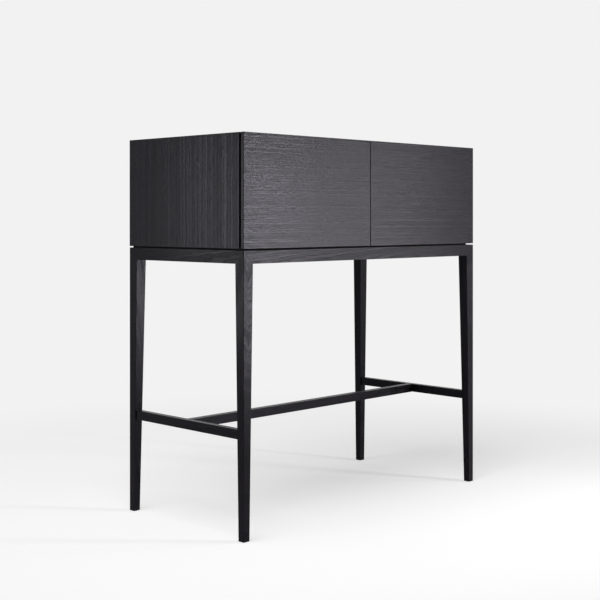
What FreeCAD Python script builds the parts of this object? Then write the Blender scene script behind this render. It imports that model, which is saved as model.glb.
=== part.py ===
import FreeCAD, Part
import math
import os

# A bar cabinet: a wide, shallow box on a tall leg frame. Millimetres, +Z up.
# X runs along the front, the front faces -Y, and the origin is on the floor under the middle.
# The left front folds down about its lower edge and becomes a shelf; the right front is a door.

os.makedirs("parts", exist_ok=True)
V = FreeCAD.Vector
SAME_POINT = 1e-6

# ------------------------------------------------------------------ driving dimensions
# whole cabinet
width = 1200.0
depth = 582.0
frame_height = 911.0
shadow_gap = 5.0
box_height = 366.0

# leg frame
leg_top = 40.0
leg_foot = 25.0
rail_height = 42.0
stretcher_top = 349.0
stretcher_height = 31.0
side_stretcher_width = 22.0
centre_stretcher_width = 26.0
tenon_thickness = 8.0
tenon_shoulder = 5.5
leg_tenon_length = 14.0
centre_tenon_length = 12.0
frame_arris = 1.2
dowel_radius = 4.0
dowel_length = 32.0
dowel_in_leg = 12.0
dowel_edge = 12.0
glide_radius = 9.0
glide_thickness = 1.5
glide_spigot_radius = 3.0
glide_spigot_length = 12.0

# strips between frame and box, and the screws that hold the box down
spacer_width = 24.0
spacer_setback = 9.0
spacer_front_inset = 5.0
counterbore_radius = 6.0
counterbore_depth = 26.0
frame_screw_bite = 13.0
frame_screw_x = 400.0
frame_screw_y = 120.0

# box
panel = 18.0
box_arris = 1.0
spline_thickness = 4.0
spline_width = 13.0
spline_depth = 8.0
spline_inset = 30.0
back_thickness = 8.0
back_lip = 9.0
back_fit = 0.3
divider_thickness = 18.0
divider_dowel_length = 30.0
divider_dowel_bite = 10.0
divider_dowel_pitch = 180.0
back_screw_count = 4

# fronts
front_thickness = 13.0
front_gap = 9.0
front_split = 2.5
front_arris = 1.0

# loose shelf and its pins
shelf_thickness = 16.0
shelf_arris = 1.2
shelf_front_inset = 30.0
shelf_side_fit = 1.0
shelf_back_fit = 3.0
pin_radius = 2.5
pin_bite = 9.0
pin_collar_radius = 4.0
pin_collar_thickness = 0.8
pin_reach = 7.0
pin_flat = 1.2
pin_hole_depth = 10.0
pin_hole_pitch = 32.0
pin_hole_count = 5
pin_column_inset = 60.0
pin_row_in_use = 2

# cranked pivot hinges
swing_clearance = 2.0
door_opening = 95.0
shelf_opening = 90.0
nose_angle = 55.0
nose_width = 5.0
nose_radius = 3.5
slot_clearance = 0.4
arm_thickness = 3.0
arm_plate_inset = 6.5
arm_plate_length = 44.0
arm_plate_width = 20.0
arm_screw_pitch = 24.0
cup_wall = 1.6
cup_floor = 0.6
cup_half_width = 6.5
cup_corner = 3.0
flange_length = 30.0
flange_width = 14.0
flange_thickness = 2.2
flange_screw_start = 14.0
flange_screw_pitch = 10.0
hinge_pin_radius = 2.0
pin_running_fit = 0.05

# brake stays of the fold-out shelf
stay_radius = 190.0
stay_angle = 40.0
lug_height = 14.0
rod_radius = 4.0
rod_wall_distance = 14.0
rod_fit = 0.3
eye_radius = 7.0
eye_thickness = 4.0
ear_thickness = 3.0
ear_radius = 6.0
bracket_width = 22.0
bracket_height = 40.0
bracket_thickness = 2.0
side_play = 0.3
stay_pin_radius = 2.5
stay_pin_head_radius = 4.5
stay_pin_head = 1.5
swivel_length = 26.0
swivel_height = 17.0
swivel_wall = 3.0
stud_radius = 3.0
stud_fit = 0.1
stud_length = 6.0
stay_plate_width = 30.0
stay_plate_height = 46.0
stay_plate_thickness = 2.0
stay_plate_screw_pitch = 32.0
rod_stop_radius = 6.5
rod_stop_length = 8.0
rod_tip = 3.0
rod_chamfer = 1.0
rod_stop_arris = 1.0
brake_screw_radius = 3.0
brake_knob_radius = 5.0
brake_knob_length = 3.0

# magnet posts, their magnets and the strike discs
post_inset = 40.0
post_shank_radius = 4.5
post_shank_length = 14.0
post_flange_radius = 6.5
post_flange = 2.0
post_head_radius = 5.0
post_arris = 0.6
post_clearance = 0.2
magnet_radius = 3.6
magnet_thickness = 3.0
strike_radius = 8.0
strike_thickness = 1.2

# countersunk screws: head radius, shank radius, length
FRAME_SCREW = (5.0, 2.25)
BACK_SCREW = (3.4, 1.75, 18.0)
ARM_SCREW = (3.8, 1.9, 15.0)
CUP_SCREW = (3.0, 1.5, 9.0)
STAY_PLATE_SCREW = (3.2, 1.6, 14.0)
BRACKET_SCREW = (3.2, 1.6, 10.0)

# ------------------------------------------------------------------ derived dimensions
x_side = width / 2
y_front = -depth / 2
y_rear = depth / 2
rail_bottom = frame_height - rail_height
stretcher_bottom = stretcher_top - stretcher_height
box_bottom = frame_height + shadow_gap
box_top = box_bottom + box_height
front_back = y_front + front_thickness
box_front = front_back + front_gap
inner_side = x_side - panel
inner_bottom = box_bottom + panel
inner_top = box_top - panel
back_front = y_rear - back_thickness
divider_side = divider_thickness / 2
spacer_front = box_front + spacer_front_inset
front_rail_back = y_front + leg_top

# The pivot of each front lies inside its thickness. At 90 degrees the inner face is then level
# with the inner face of the panel it is hinged to, and its edge clears that panel.
pivot_edge = (panel + front_gap - swing_clearance) / 2
pivot_depth = (panel - front_gap + swing_clearance) / 2
y_pivot = front_back - pivot_depth
shelf_pivot_z = box_bottom + pivot_edge
door_pivot_x = x_side - pivot_edge

# The lug's pivot and the swivel lie at one radius from the shelf's pivot, so rod and swivel
# both turn by exactly half of the shelf's angle.
lug_y = y_pivot + pivot_depth + lug_height
lug_z = shelf_pivot_z + math.sqrt(stay_radius ** 2 - (lug_y - y_pivot) ** 2)
swivel_y = y_pivot + stay_radius * math.sin(math.radians(stay_angle))
swivel_z = shelf_pivot_z + stay_radius * math.cos(math.radians(stay_angle))
lug_lean = math.degrees(math.atan2(lug_y - y_pivot, lug_z - shelf_pivot_z))
rod_reach_open = 2 * stay_radius * math.sin(math.radians(shelf_opening + stay_angle - lug_lean) / 2)
rod_stop_start = rod_reach_open + swivel_length / 2 + side_play
rod_length = rod_stop_start + rod_stop_length + rod_tip
rod_slope = math.degrees(math.atan2(swivel_z - lug_z, swivel_y - lug_y))
stay_middle_x = -(inner_side + divider_side) / 2


# ------------------------------------------------------------------ small helpers
def box(x0, x1, y0, y1, z0, z1):
    """A block between two corners."""
    return Part.makeBox(x1 - x0, y1 - y0, z1 - z0, V(x0, y0, z0))


def prism(points, along):
    """A closed polygon pushed along a vector."""
    wire = Part.makePolygon(points + [points[0]])
    return Part.Face(wire).extrude(along)


def cylinder(start, direction, radius, length):
    return Part.makeCylinder(radius, length, start, direction)


def join(shapes):
    """One solid from shapes that touch or overlap."""
    whole = shapes[0]
    for shape in shapes[1:]:
        whole = whole.fuse(shape)
    return whole.removeSplitter()


def cut_all(shape, tools):
    for tool in tools:
        shape = shape.cut(tool)
    return shape


def runs_along(edge, axis):
    """True for a straight edge parallel to the axis."""
    start = edge.Vertexes[0].Point
    end = edge.Vertexes[-1].Point
    return (end - start).cross(axis).Length < SAME_POINT < (end - start).Length


def round_along(shape, axis, radius):
    """Rounds every edge that runs along the axis."""
    edges = [edge for edge in shape.Edges if runs_along(edge, axis)]
    return shape.makeFillet(radius, edges)


def rounded_plate(x0, x1, y0, y1, z0, z1, axis, radius):
    """A plate whose outline, seen along the axis, has round corners."""
    return round_along(box(x0, x1, y0, y1, z0, z1), axis, radius)


def turned(shape, axis, degrees, centre=V(0, 0, 0)):
    copy = shape.copy()
    copy.rotate(centre, axis, degrees)
    return copy


def moved(shape, offset):
    copy = shape.copy()
    copy.translate(offset)
    return copy


def mirrored_x(shape, x=0.0):
    return shape.mirror(V(x, 0, 0), V(1, 0, 0))


def countersunk(head_point, direction, head_radius, shank_radius, length):
    """A countersunk screw: its flat head lies at head_point, its shank runs along direction."""
    head_height = head_radius - shank_radius
    head = Part.makeCone(head_radius, shank_radius, head_height, head_point, direction)
    shank = cylinder(head_point, direction, shank_radius, length)
    return join([head, shank])


# ------------------------------------------------------------------ leg frame
def leg_size_at(z):
    """Thickness of a tapered leg at a height."""
    share = (z - glide_thickness) / (rail_bottom - glide_thickness)
    return leg_foot + (leg_top - leg_foot) * share


def leg_blank():
    """A leg with its outer corner on the Z axis: two upright faces, two tapered ones."""
    z0 = glide_thickness
    z1 = rail_bottom
    profile = [(0, z0), (leg_foot, z0), (leg_top, z1), (0, z1)]
    along_y = prism([V(a, 0, z) for a, z in profile], V(0, leg_top, 0))
    along_x = prism([V(0, a, z) for a, z in profile], V(leg_top, 0, 0))
    taper = along_y.common(along_x)
    long_edges = [edge for edge in taper.Edges if edge.Length > rail_bottom / 2]
    taper = taper.makeFillet(frame_arris, long_edges)
    head = box(0, leg_top, 0, leg_top, z1, frame_height)
    corner = [edge for edge in head.Edges if edge.BoundBox.XMax + edge.BoundBox.YMax < SAME_POINT]
    return join([taper, head.makeFillet(frame_arris, corner)])


def at_corners(shape):
    """Copies of a shape made at the local corner (0, 0), one for each corner of the frame."""
    front_left = moved(shape, V(-x_side, y_front, 0))
    front_right = moved(turned(shape, V(0, 0, 1), 90), V(x_side, y_front, 0))
    rear_right = moved(turned(shape, V(0, 0, 1), 180), V(x_side, y_rear, 0))
    rear_left = moved(turned(shape, V(0, 0, 1), 270), V(-x_side, y_rear, 0))
    return [front_left, front_right, rear_right, rear_left]


def mitred_rail(length, arris):
    """A top rail from x=0 to length with its outer face at y=0, mitred to legs and rails."""
    bar = box(0, length, 0, leg_top, rail_bottom, frame_height)
    if arris:
        bar = round_along(bar, V(1, 0, 0), arris)
    inner = length - leg_top
    face = [(0, frame_height), (length, frame_height), (inner, rail_bottom), (leg_top, rail_bottom)]
    plan = [(0, 0), (length, 0), (inner, leg_top), (leg_top, leg_top)]
    bar = bar.common(prism([V(x, 0, z) for x, z in face], V(0, leg_top, 0)))
    return bar.common(prism([V(x, y, rail_bottom) for x, y in plan], V(0, 0, rail_height)))


def rails(arris):
    """The four top rails in place: front, rear, left, right."""
    long_rail = mitred_rail(width, arris)
    short_rail = mitred_rail(depth, arris)
    front = moved(long_rail, V(-x_side, y_front, 0))
    rear = moved(turned(long_rail, V(0, 0, 1), 180), V(x_side, y_rear, 0))
    left = moved(turned(short_rail, V(0, 0, 1), -90), V(-x_side, y_rear, 0))
    right = moved(turned(short_rail, V(0, 0, 1), 90), V(x_side, y_front, 0))
    return [front, rear, left, right]


def frame_dowels():
    """Two dowels in each corner, from the leg into each rail, through the mitre."""
    z = rail_bottom + dowel_edge
    start = leg_top * (frame_height - z) / rail_height - dowel_in_leg
    along_x = cylinder(V(start, dowel_edge, z), V(1, 0, 0), dowel_radius, dowel_length)
    along_y = cylinder(V(dowel_edge, start, z), V(0, 1, 0), dowel_radius, dowel_length)
    return at_corners(along_x) + at_corners(along_y)


def glide():
    """A nylon glide under a foot, its spigot in the leg's end grain."""
    centre = leg_foot / 2
    disc = cylinder(V(centre, centre, 0), V(0, 0, 1), glide_radius, glide_thickness)
    spigot_length = glide_thickness + glide_spigot_length
    return join([disc, cylinder(V(centre, centre, 0), V(0, 0, 1), glide_spigot_radius, spigot_length)])


side_inset = (leg_size_at((stretcher_top + stretcher_bottom) / 2) - side_stretcher_width) / 2
side_outer = x_side - side_inset
side_middle = side_outer - side_stretcher_width / 2
side_inner = side_outer - side_stretcher_width
tenon_bottom = stretcher_bottom + tenon_shoulder
tenon_top = stretcher_top - tenon_shoulder


def side_tenon_core():
    """The tenon of the left side stretcher, as one bar from leg to leg."""
    y = y_rear - leg_size_at(tenon_bottom) + leg_tenon_length
    half = tenon_thickness / 2
    return box(-side_middle - half, -side_middle + half, -y, y, tenon_bottom, tenon_top)


def centre_tenon_core():
    x = side_inner + centre_tenon_length
    half = tenon_thickness / 2
    return box(-x, x, -half, half, tenon_bottom, tenon_top)


def side_stretcher(legs):
    """The left stretcher: its shoulders follow the legs' taper."""
    y = y_rear - leg_foot / 2
    bar = box(-side_outer, -side_inner, -y, y, stretcher_bottom, stretcher_top)
    bar = cut_all(round_along(bar, V(0, 1, 0), frame_arris), legs)
    return join([bar, side_tenon_core()]).cut(centre_tenon_core())


def centre_stretcher():
    half = centre_stretcher_width / 2
    bar = box(-side_inner, side_inner, -half, half, stretcher_bottom, stretcher_top)
    return join([round_along(bar, V(1, 0, 0), frame_arris), centre_tenon_core()])


# ------------------------------------------------------------------ strips between frame and box
def spacer_strips():
    """Four flat strips, set back so that the box seems to float: front, rear, left, right."""
    x = x_side - spacer_setback
    z = (frame_height, box_bottom)
    rear_back = y_rear - spacer_setback
    rear_front = rear_back - spacer_width
    front = box(-x, x, spacer_front, front_rail_back, *z)
    rear = box(-x, x, rear_front, rear_back, *z)
    left = box(-x, -x + spacer_width, front_rail_back, rear_front, *z)
    return [front, rear, left, mirrored_x(left)]


def frame_screw_points():
    front_y = (spacer_front + front_rail_back) / 2
    rear_y = y_rear - spacer_setback - spacer_width / 2
    side_x = x_side - spacer_setback - spacer_width / 2
    points = [(x, y) for y in (front_y, rear_y) for x in (-frame_screw_x, 0, frame_screw_x)]
    return points + [(x, y) for x in (-side_x, side_x) for y in (-frame_screw_y, frame_screw_y)]


def frame_screws():
    """Screws from under the rails, through the strips, into the bottom panel."""
    z = rail_bottom + counterbore_depth
    length = box_bottom + frame_screw_bite - z
    return [countersunk(V(x, y, z), V(0, 0, 1), *FRAME_SCREW, length) for x, y in frame_screw_points()]


def counterbores():
    return [cylinder(V(x, y, rail_bottom), V(0, 0, 1), counterbore_radius, counterbore_depth)
            for x, y in frame_screw_points()]


# ------------------------------------------------------------------ box
def box_corners(inset):
    """Corners of the box's profile, in order top left, top right, bottom right, bottom left."""
    x = x_side - inset
    low = box_bottom + inset
    high = box_top - inset
    return [(-x, high), (x, high), (x, low), (-x, low)]


def mitred_panels():
    """Top, right, bottom and left panel, mitred at the corners, with the rebate for the back."""
    outer = box(-x_side, x_side, box_front, y_rear, box_bottom, box_top)
    outer = round_along(outer, V(0, 1, 0), box_arris)
    lip_x = x_side - back_lip
    rebate = box(-lip_x, lip_x, back_front, y_rear, box_bottom + back_lip, box_top - back_lip)
    outside = box_corners(0)
    inside = box_corners(panel)
    panels = []
    for k in range(4):
        follow = (k + 1) % 4
        corners = [outside[k], outside[follow], inside[follow], inside[k]]
        wedge = prism([V(x, box_front, z) for x, z in corners], V(0, y_rear - box_front, 0))
        panels.append(outer.common(wedge).cut(rebate))
    return panels


def mitre_splines():
    """A thin spline across each mitre of the box."""
    reach = spline_depth / math.sqrt(2)
    half = spline_width / 2
    thick = spline_thickness / 2
    y0 = box_front + spline_inset
    y1 = back_front - spline_inset
    splines = []
    for (x, z), degrees in zip(box_corners(panel - reach), (-45, 45, -45, 45)):
        spline = box(-half, half, y0, y1, -thick, thick)
        splines.append(moved(turned(spline, V(0, 1, 0), degrees), V(x, 0, z)))
    return splines


def back_panel():
    x = x_side - back_lip - back_fit
    z0 = box_bottom + back_lip + back_fit
    z1 = box_top - back_lip - back_fit
    return box(-x, x, back_front, y_rear, z0, z1)


def back_screws():
    """Screws round the back panel, into the panels' shoulders, and two into the divider."""
    edge = (back_lip + panel) / 2
    x = x_side - edge
    low = box_bottom + edge
    high = box_top - edge
    step = 2 * x / back_screw_count
    points = [(-x + step * (k + 0.5), z) for k in range(back_screw_count) for z in (low, high)]
    third = box_height / 3
    points += [(side, box_bottom + third * k) for side in (-x, 0, x) for k in (1, 2)]
    return [countersunk(V(px, y_rear, pz), V(0, -1, 0), *BACK_SCREW) for px, pz in points]


def divider():
    return box(-divider_side, divider_side, box_front, back_front, inner_bottom, inner_top)


def divider_dowels():
    """Dowels at the foot and head of the divider."""
    low = inner_bottom - divider_dowel_bite
    high = inner_top + divider_dowel_bite - divider_dowel_length
    return [cylinder(V(0, y, z), V(0, 0, 1), dowel_radius, divider_dowel_length)
            for z in (low, high) for y in (-divider_dowel_pitch, 0, divider_dowel_pitch)]


# ------------------------------------------------------------------ loose shelf
shelf_left = divider_side + shelf_side_fit
shelf_right = inner_side - shelf_side_fit
shelf_front = box_front + shelf_front_inset
shelf_back = back_front - shelf_back_fit
pin_columns = (shelf_front + pin_column_inset, shelf_back - pin_column_inset)
pin_row_start = (inner_bottom + inner_top - pin_hole_pitch * (pin_hole_count - 1)) / 2
pin_z = pin_row_start + pin_hole_pitch * pin_row_in_use
shelf_bottom = pin_z + pin_flat


def loose_shelf():
    """A plain board with softened edges; it rests on four pins."""
    z1 = shelf_bottom + shelf_thickness
    board = box(shelf_left, shelf_right, shelf_front, shelf_back, shelf_bottom, z1)
    return board.makeFillet(shelf_arris, board.Edges)


def shelf_pin(y):
    """A pin in the divider: shank, collar, and a peg with a flat that carries the shelf."""
    x = divider_side
    shank = cylinder(V(x - pin_bite, y, pin_z), V(1, 0, 0), pin_radius, pin_bite + pin_reach)
    collar = cylinder(V(x, y, pin_z), V(1, 0, 0), pin_collar_radius, pin_collar_thickness)
    above = box(x + pin_collar_thickness, x + pin_reach, y - pin_radius, y + pin_radius,
                shelf_bottom, shelf_bottom + pin_radius)
    return join([shank, collar]).cut(above)


def shelf_pins():
    middle = (divider_side + inner_side) / 2
    left = [shelf_pin(y) for y in pin_columns]
    return left + [mirrored_x(pin, middle) for pin in left]


def pin_holes(face_x, direction):
    """Two columns of holes in an inner face of the right compartment."""
    return [cylinder(V(face_x, y, pin_row_start + pin_hole_pitch * k), V(direction, 0, 0),
                     pin_radius, pin_hole_depth)
            for y in pin_columns for k in range(pin_hole_count)]


# ------------------------------------------------------------------ cranked pivot hinge
# Local frame of a hinge: the pivot is the Z axis, +Y points from the front into the cabinet,
# +X points away from the hinged edge, and +Z points to the middle of the front.
plate_start = pivot_depth + front_gap + arm_plate_inset
plate_middle = plate_start * math.tan(math.radians(nose_angle))


def slot_reach(degrees):
    """How far the slot for the nose reaches on the inner face, for a nose at this angle."""
    slope = math.radians(degrees)
    half = nose_width / 2 + slot_clearance
    return pivot_depth * math.tan(slope) + half / math.cos(slope)


cup_inner = slot_reach(nose_angle) + cup_wall
cup_outer = slot_reach(door_opening - nose_angle) + cup_wall
cup_depth = nose_radius + slot_clearance + cup_floor
flange_middle = (cup_inner - cup_outer) / 2


def nose(half_width, boss_radius, half_thickness, length, degrees):
    """The cranked nose: a boss on the pivot and a straight bar at an angle."""
    bar = box(-half_width, half_width, 0, length, -half_thickness, half_thickness)
    bar = turned(bar, V(0, 0, 1), -degrees)
    boss = cylinder(V(0, 0, -half_thickness), V(0, 0, 1), boss_radius, 2 * half_thickness)
    return join([bar, boss])


def hinge_arm_screws():
    """Countersunk screws through the arm's plate into the cabinet."""
    middle = plate_start + arm_plate_length / 2
    return [countersunk(V(plate_middle, middle + k * arm_screw_pitch / 2, arm_thickness / 2),
                        V(0, 0, -1), *ARM_SCREW) for k in (-1, 1)]


def hinge_arm():
    half = arm_thickness / 2
    length = (plate_start + nose_width) / math.cos(math.radians(nose_angle))
    bar = nose(nose_width / 2, nose_radius, half, length, nose_angle)
    side = arm_plate_width / 2
    plate = rounded_plate(plate_middle - side, plate_middle + side, plate_start,
                          plate_start + arm_plate_length, -half, half, V(0, 0, 1), nose_radius)
    bore = cylinder(V(0, 0, -half), V(0, 0, 1), hinge_pin_radius + pin_running_fit, arm_thickness)
    return cut_all(join([bar, plate]), [bore] + hinge_arm_screws())


def cup_pocket():
    """The outer form of cup and flange: the recess in the front."""
    body = rounded_plate(-cup_outer, cup_inner, -cup_depth, pivot_depth, -cup_half_width,
                         cup_half_width, V(0, 1, 0), cup_corner)
    side = flange_width / 2
    flange = rounded_plate(flange_middle - side, flange_middle + side,
                           pivot_depth - flange_thickness, pivot_depth, 0, flange_length,
                           V(0, 1, 0), cup_corner)
    return join([body, flange])


def cup_slot():
    """The fan-shaped slot that the nose sweeps as the front opens."""
    half = nose_width / 2 + slot_clearance
    radius = nose_radius + slot_clearance
    thick = arm_thickness / 2 + slot_clearance
    length = 4 * cup_inner
    corners = []
    for degrees, side in ((nose_angle, 1), (nose_angle - door_opening, -1)):
        slope = math.radians(degrees)
        along = V(math.sin(slope), math.cos(slope), 0)
        start = V(math.cos(slope), -math.sin(slope), 0) * (side * half)
        corners.append([start, start + along * length])
    points = [corners[0][0], corners[0][1], corners[1][1], corners[1][0]]
    fan = prism([point - V(0, 0, thick) for point in points], V(0, 0, 2 * thick))
    return join([fan, cylinder(V(0, 0, -thick), V(0, 0, 1), radius, 2 * thick)])


def hinge_pin():
    return cylinder(V(0, 0, -cup_half_width), V(0, 0, 1), hinge_pin_radius, 2 * cup_half_width)


def cup_screws():
    return [countersunk(V(flange_middle, pivot_depth, flange_screw_start + k * flange_screw_pitch),
                        V(0, -1, 0), *CUP_SCREW) for k in (0, 1)]


def hinge_cup():
    return cut_all(cup_pocket(), [cup_slot(), hinge_pin()] + cup_screws())


def place_hinge(shape, x_axis, inward, origin):
    """Puts a local hinge shape in place; inward is where its flange points in the cabinet."""
    y_axis = V(0, 1, 0)
    z_axis = x_axis.cross(y_axis)
    if z_axis.dot(inward) < 0:
        shape = shape.mirror(V(0, 0, 0), V(0, 0, 1))
    matrix = FreeCAD.Matrix(x_axis.x, y_axis.x, z_axis.x, origin.x,
                            x_axis.y, y_axis.y, z_axis.y, origin.y,
                            x_axis.z, y_axis.z, z_axis.z, origin.z, 0, 0, 0, 1)
    copy = shape.copy()
    copy.Placement = FreeCAD.Placement(matrix).multiply(copy.Placement)
    return copy


def hinge_places():
    """The four hinges: name, local X axis, direction to the middle of the front, pivot point."""
    in_panel = arm_thickness / 2
    shelf_left_x = -inner_side + in_panel
    shelf_right_x = -divider_side - in_panel
    return {
        "shelf_left": (V(0, 0, 1), V(1, 0, 0), V(shelf_left_x, y_pivot, shelf_pivot_z)),
        "shelf_right": (V(0, 0, 1), V(-1, 0, 0), V(shelf_right_x, y_pivot, shelf_pivot_z)),
        "door_top": (V(-1, 0, 0), V(0, 0, -1), V(door_pivot_x, y_pivot, inner_top - in_panel)),
        "door_bottom": (V(-1, 0, 0), V(0, 0, 1), V(door_pivot_x, y_pivot, inner_bottom + in_panel)),
    }


# ------------------------------------------------------------------ brake stays
# Built for the left end of the fold-out shelf and mirrored for its right end.
# Distances named "from the wall" are measured from the side panel's inner face.
wall = -inner_side
rod_x = wall + rod_wall_distance
ear_x = rod_x - eye_thickness / 2 - side_play - ear_thickness
swivel_wall_x = wall + stay_plate_thickness + side_play
swivel_free_x = rod_x + rod_radius + rod_fit + swivel_wall


def along_rod(shape, origin):
    """Turns a shape made along +Y to the rod's slope and moves it to its origin."""
    return moved(turned(shape, V(1, 0, 0), rod_slope), origin)


def stay_rod():
    """A round rod with a flat eye at its foot."""
    half = eye_thickness / 2
    eye = cylinder(V(-half, 0, 0), V(1, 0, 0), eye_radius, eye_thickness)
    bar_start = 2 * eye_radius
    tip_start = rod_length - rod_chamfer
    neck = box(-half, half, 0, bar_start, -rod_radius, rod_radius)
    bar = cylinder(V(0, bar_start, 0), V(0, 1, 0), rod_radius, tip_start - bar_start)
    tip = Part.makeCone(rod_radius, rod_radius - rod_chamfer, rod_chamfer, V(0, tip_start, 0),
                        V(0, 1, 0))
    neck = neck.common(cylinder(V(0, 0, 0), V(0, 1, 0), rod_radius, bar_start))
    bore = cylinder(V(-half, 0, 0), V(1, 0, 0), stay_pin_radius + pin_running_fit, eye_thickness)
    rod = join([eye, neck, bar, tip]).cut(bore)
    return along_rod(rod, V(rod_x, lug_y, lug_z))


def rod_stop():
    """A collar near the rod's far end that stops the shelf when it is level."""
    ring = cylinder(V(0, rod_stop_start, 0), V(0, 1, 0), rod_stop_radius, rod_stop_length)
    ring = ring.makeFillet(rod_stop_arris, [edge for edge in ring.Edges if len(edge.Vertexes) == 1])
    bore = cylinder(V(0, 0, 0), V(0, 1, 0), rod_radius, rod_length)
    return along_rod(ring.cut(bore), V(rod_x, lug_y, lug_z))


def swivel():
    """The brake body: it turns on the plate's stud, and the rod runs through it."""
    half = swivel_length / 2
    high = swivel_height / 2
    x0 = swivel_wall_x - rod_x
    x1 = swivel_free_x - rod_x
    body = rounded_plate(x0, x1, -half, half, -high, high, V(1, 0, 0), cup_corner)
    channel = cylinder(V(0, -half, 0), V(0, 1, 0), rod_radius + rod_fit, swivel_length)
    socket = cylinder(V(x0, 0, 0), V(1, 0, 0), stud_radius + stud_fit, stud_length)
    thread = cylinder(V(0, 0, 0), V(1, 0, 0), brake_screw_radius, x1)
    return along_rod(cut_all(body, [channel, socket, thread]), V(rod_x, swivel_y, swivel_z))


def brake_screw():
    """The screw that sets how hard the brake grips the rod."""
    start = rod_radius + rod_fit
    end = swivel_free_x - rod_x
    shank = cylinder(V(start, 0, 0), V(1, 0, 0), brake_screw_radius, end - start)
    knob = cylinder(V(end, 0, 0), V(1, 0, 0), brake_knob_radius, brake_knob_length)
    return along_rod(join([shank, knob]), V(rod_x, swivel_y, swivel_z))


def stay_plate_screws():
    x = wall + stay_plate_thickness
    return [countersunk(V(x, swivel_y, swivel_z + k * stay_plate_screw_pitch / 2), V(-1, 0, 0),
                        *STAY_PLATE_SCREW) for k in (-1, 1)]


def stay_plate():
    """The plate on the wall with the stud that the swivel turns on."""
    wide = stay_plate_width / 2
    high = stay_plate_height / 2
    plate = rounded_plate(wall, wall + stay_plate_thickness, swivel_y - wide, swivel_y + wide,
                          swivel_z - high, swivel_z + high, V(1, 0, 0), cup_corner)
    stud = cylinder(V(wall, swivel_y, swivel_z), V(1, 0, 0), stud_radius,
                    stay_plate_thickness + stud_length)
    return cut_all(join([plate, stud]), stay_plate_screws())


def bracket_screws():
    x = ear_x + bracket_width - 2 * BRACKET_SCREW[0]
    y = front_back + bracket_thickness
    return [countersunk(V(x, y, lug_z + k * bracket_height / 4), V(0, -1, 0), *BRACKET_SCREW)
            for k in (-1, 1)]


def stay_pin():
    """The rivet through the bracket's ear and the rod's eye."""
    length = ear_thickness + 2 * side_play + eye_thickness
    shank = cylinder(V(ear_x, lug_y, lug_z), V(1, 0, 0), stay_pin_radius, length)
    head = cylinder(V(ear_x + length, lug_y, lug_z), V(1, 0, 0), stay_pin_head_radius, stay_pin_head)
    return join([shank, head])


def stay_bracket():
    """An angle bracket on the shelf's inner face; its ear carries the rod's eye."""
    high = bracket_height / 2
    base = rounded_plate(ear_x, ear_x + bracket_width, front_back, front_back + bracket_thickness,
                         lug_z - high, lug_z + high, V(0, 1, 0), cup_corner)
    foot = high - cup_corner
    profile = [(front_back, -foot), (front_back, foot), (lug_y, ear_radius), (lug_y, -ear_radius)]
    web = prism([V(ear_x, y, lug_z + z) for y, z in profile], V(ear_thickness, 0, 0))
    tip = cylinder(V(ear_x, lug_y, lug_z), V(1, 0, 0), ear_radius, ear_thickness)
    return cut_all(join([base, web, tip]), [stay_pin()] + bracket_screws())


def at_both_ends(shape):
    """A stay piece for the left end of the shelf and its mirror image for the right end."""
    return [shape, mirrored_x(shape, stay_middle_x)]


# ------------------------------------------------------------------ magnet posts and strikes
post_length = front_gap - post_clearance


def magnet_post(x, z):
    """A post in the box's front edge, turned about its axis, with a pocket in its head."""
    shank = cylinder(V(x, box_front, z), V(0, 1, 0), post_shank_radius, post_shank_length)
    flange = cylinder(V(x, box_front, z), V(0, -1, 0), post_flange_radius, post_flange)
    head = cylinder(V(x, box_front, z), V(0, -1, 0), post_head_radius, post_length)
    rim = [edge for edge in head.Edges if edge.BoundBox.YMax < box_front - post_flange]
    return join([shank, flange, head.makeFillet(post_arris, rim)]).cut(post_magnet(x, z))


def post_magnet(x, z):
    """The round magnet in a post's head, flush with its face."""
    return cylinder(V(x, box_front - post_length, z), V(0, 1, 0), magnet_radius, magnet_thickness)


def strike(x, z):
    return cylinder(V(x, front_back, z), V(0, -1, 0), strike_radius, strike_thickness)


top_edge_z = box_top - panel / 2
bottom_edge_z = box_bottom + panel / 2
shelf_post_points = [(-x_side + post_inset, top_edge_z), (-post_inset, top_edge_z)]
door_post_points = [(post_inset, top_edge_z), (post_inset, bottom_edge_z)]


# ------------------------------------------------------------------ the two fronts
def front_board(x0, x1):
    """A plain board with softened edges."""
    board = box(x0, x1, y_front, front_back, box_bottom, box_top)
    return board.makeFillet(front_arris, board.Edges)


# ------------------------------------------------------------------ assembly
parts = {}


def add_group(name, shapes):
    """One node that holds several separate solids of the same kind."""
    parts[name] = Part.makeCompound(shapes)


def build_frame():
    """Legs, rails, stretchers and strips; returns the frame's dowels."""
    blanks = at_corners(leg_blank())
    dowels = frame_dowels()
    glides = at_corners(glide())
    side_cores = [side_tenon_core(), mirrored_x(side_tenon_core())]
    names = ("leg_front_left", "leg_front_right", "leg_rear_right", "leg_rear_left")
    for name, blank in zip(names, blanks):
        parts[name] = cut_all(blank, rails(0) + side_cores + dowels + glides)
    tools = dowels + frame_screws() + counterbores()
    for name, rail in zip(("rail_front", "rail_rear", "rail_left", "rail_right"), rails(frame_arris)):
        parts[name] = cut_all(rail, tools)
    left_stretcher = side_stretcher(blanks)
    parts["stretcher_left"] = left_stretcher
    parts["stretcher_right"] = mirrored_x(left_stretcher)
    parts["stretcher_centre"] = centre_stretcher()
    add_group("foot_glides", glides)
    add_group("frame_screws", frame_screws())
    front_strip, rear_strip, *side_strips = [cut_all(strip, frame_screws()) for strip in spacer_strips()]
    parts["spacer_strip_front"] = front_strip
    parts["spacer_strip_rear"] = rear_strip
    add_group("spacer_strips_side", side_strips)
    return dowels


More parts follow.
